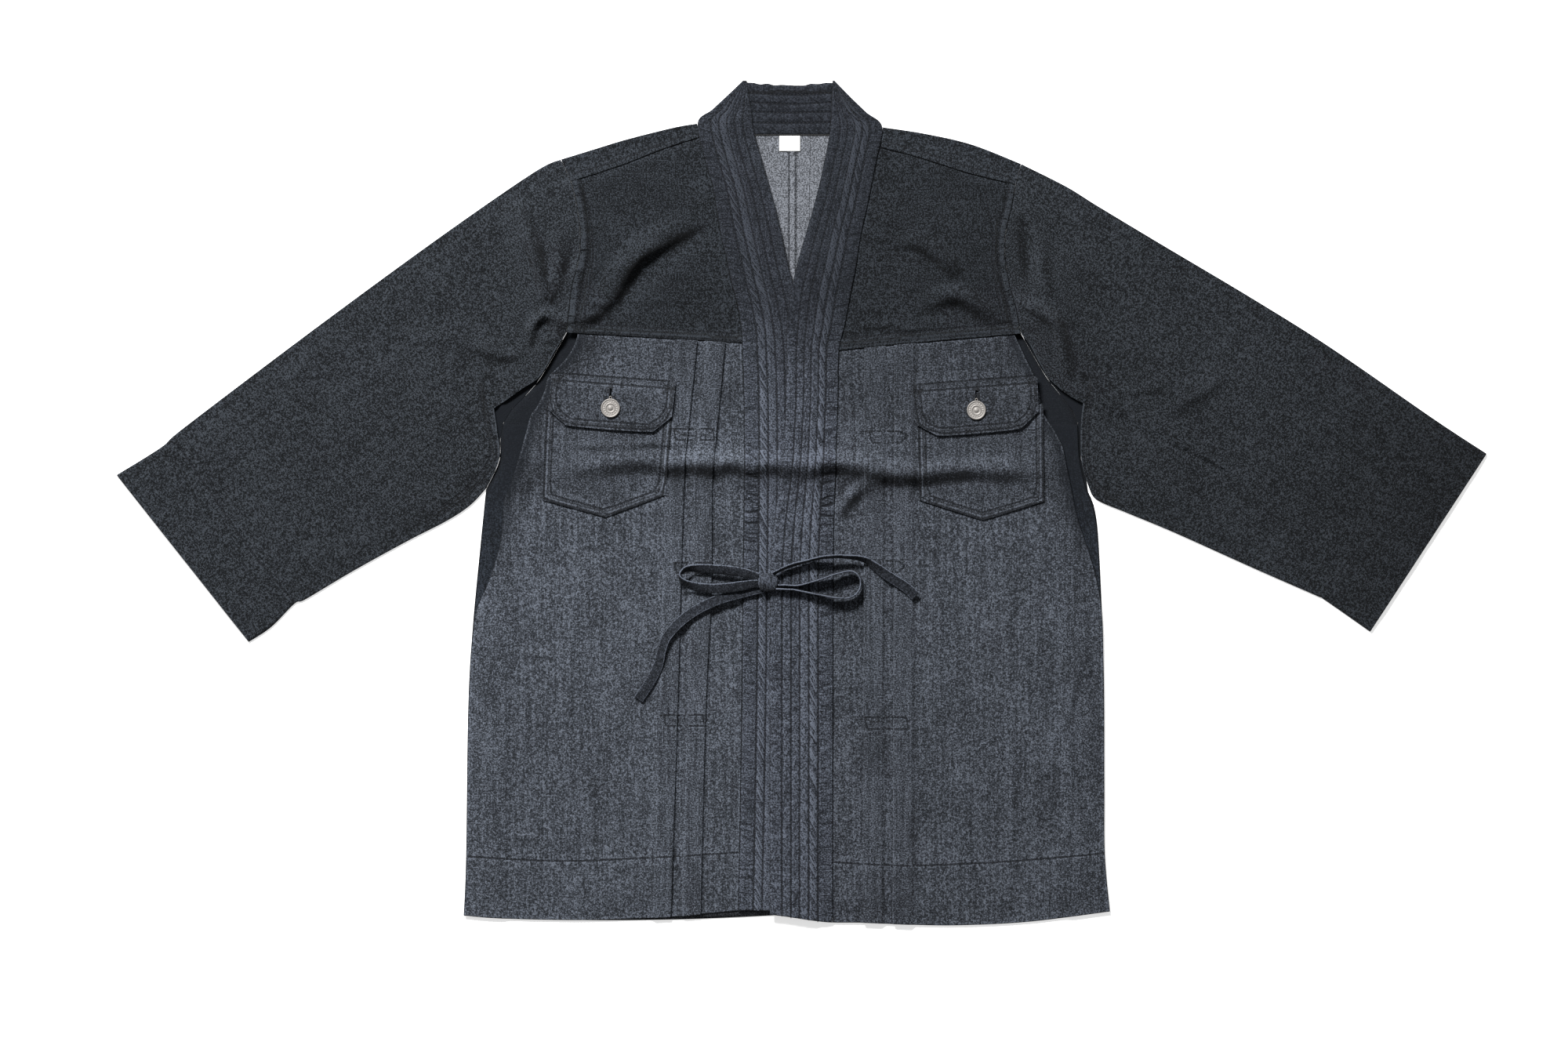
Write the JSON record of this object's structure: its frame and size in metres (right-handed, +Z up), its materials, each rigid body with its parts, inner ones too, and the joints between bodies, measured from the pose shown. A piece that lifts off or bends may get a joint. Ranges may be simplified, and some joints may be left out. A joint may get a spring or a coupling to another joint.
{
  "type": "denim haori",
  "caption": "Denim haori jacket laid flat: wide sleeves, quilted collar band lapped at the front and tied in a bow, pleated fronts and flapped chest pockets.",
  "frame": {"origin": "under the middle of the whole outline, on the surface that the haori lies on", "axes": "+X from cuff to cuff towards the wearer's left sleeve, +Y from hem to collar, +Z up, out of the haori's front"},
  "size_m": [1.2244, 0.7549, 0.0208],
  "materials": {
    "denim_cross": "soft slubby denim, grain across, worn a little at the seams",
    "denim_face": "soft slubby denim, vertical streaks, washed",
    "denim_side": "soft slubby denim, darker",
    "denim_band": "soft slubby denim, quilted over padding",
    "button_metal": "satin nickel",
    "label_tape": "woven tape, left plain"
  },
  "bodies": {
    "root": {"back_left": "denim_cross", "yoke_left": "denim_cross", "front_left": "denim_face", "side_left": "denim_side", "sleeve_left": "denim_cross", "collar_left": "denim_band", "pocket_left": "denim_face", "flap_left": "denim_face", "button_left": "button_metal", "back_right": "denim_cross", "yoke_right": "denim_cross", "front_right": "denim_face", "side_right": "denim_side", "sleeve_right": "denim_cross", "collar_right": "denim_band", "pocket_right": "denim_face", "flap_right": "denim_face", "button_right": "button_metal", "collar_neck": "denim_band", "neck_label": "label_tape", "tie_loop_left": "denim_band", "tie_loop_right": "denim_band", "tie_tail_left": "denim_band", "tie_tail_right": "denim_band", "tie_knot": "denim_band"}
  },
  "joints": []
}
